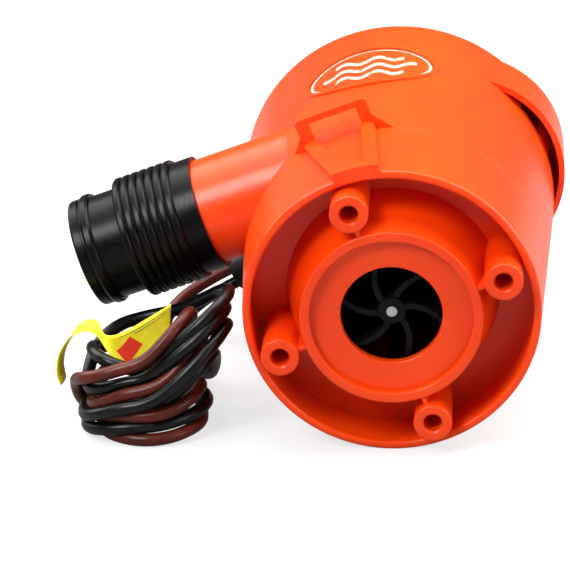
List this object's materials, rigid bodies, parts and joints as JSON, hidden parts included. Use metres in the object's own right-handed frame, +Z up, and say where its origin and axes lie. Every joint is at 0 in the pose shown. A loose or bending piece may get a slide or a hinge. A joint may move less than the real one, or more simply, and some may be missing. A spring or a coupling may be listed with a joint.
{
  "type": "bilge pump",
  "caption": "Small submersible bilge pump in orange plastic, lying on its side, with a side outlet and black hose adapter, an open inlet end and a hank of supply wire.",
  "frame": {"origin": "on the surface the pump lies on, under the middle of the pump without its supply wires", "axes": "+Z up, -Y the way the inlet end faces, -X the way the outlet points, 20 degrees below level"},
  "size_m": [0.111, 0.0956, 0.073],
  "materials": {
    "orange_plastic": "glossy moulded orange plastic",
    "black_rubber": "matte black rubber",
    "seal_rubber": "soft black rubber",
    "black_plastic": "black moulded plastic",
    "steel": "bright stainless steel",
    "zinc_steel": "zinc plated sheet steel",
    "washer_plastic": "white nylon",
    "ferrite": "dark grey ferrite",
    "bronze": "sintered bronze",
    "lamination": "stacked steel sheet",
    "copper": "enamelled copper",
    "phenolic": "brown phenolic",
    "carbon": "pressed carbon",
    "brass": "sprung brass strip",
    "brown_wire": "semi-gloss brown insulation",
    "black_wire": "semi-gloss black insulation",
    "tinned_copper": "tinned copper strands",
    "yellow_paper": "yellow coated paper"
  },
  "bodies": {
    "housing": {"brush_arm_left": "brass", "brush_arm_right": "brass", "brush_left": "carbon", "brush_right": "carbon", "cable_gland": "seal_rubber", "cup_oring": "seal_rubber", "cup_screws": "steel", "eye_plate": "orange_plastic", "front_bearing": "bronze", "head_cap": "orange_plastic", "hose_adapter": "black_rubber", "housing_oring": "seal_rubber", "inner_lead_black": "black_wire", "inner_lead_brown": "brown_wire", "lead_grommet": "seal_rubber", "lid_oring": "seal_rubber", "magnet_lower": "ferrite", "magnet_upper": "ferrite", "motor_can": "zinc_steel", "motor_cup": "black_plastic", "motor_cushion": "seal_rubber", "motor_end_cap": "black_plastic", "motor_lid": "black_plastic", "pump_body": "orange_plastic", "rear_bearing": "bronze", "shaft_seal": "seal_rubber", "volute_base": "orange_plastic", "wire_black": "black_wire", "wire_brown": "brown_wire", "wire_hank": "black_wire", "wire_tag": "yellow_paper", "wire_tips": "tinned_copper"},
    "rotor": {"motor_shaft": "steel", "impeller": "black_plastic", "armature_core": "lamination", "armature_windings": "copper", "commutator_sleeve": "phenolic", "commutator_segments": "copper", "thrust_washers": "washer_plastic"}
  },
  "joints": [
    {"name": "rotor_spin", "type": "hinge", "parent": "housing", "child": "rotor", "pos_m": [0.01755, -0.01185, 0.03351], "axis": [0, 0.9987, 0.0517], "continuous": true}
  ]
}
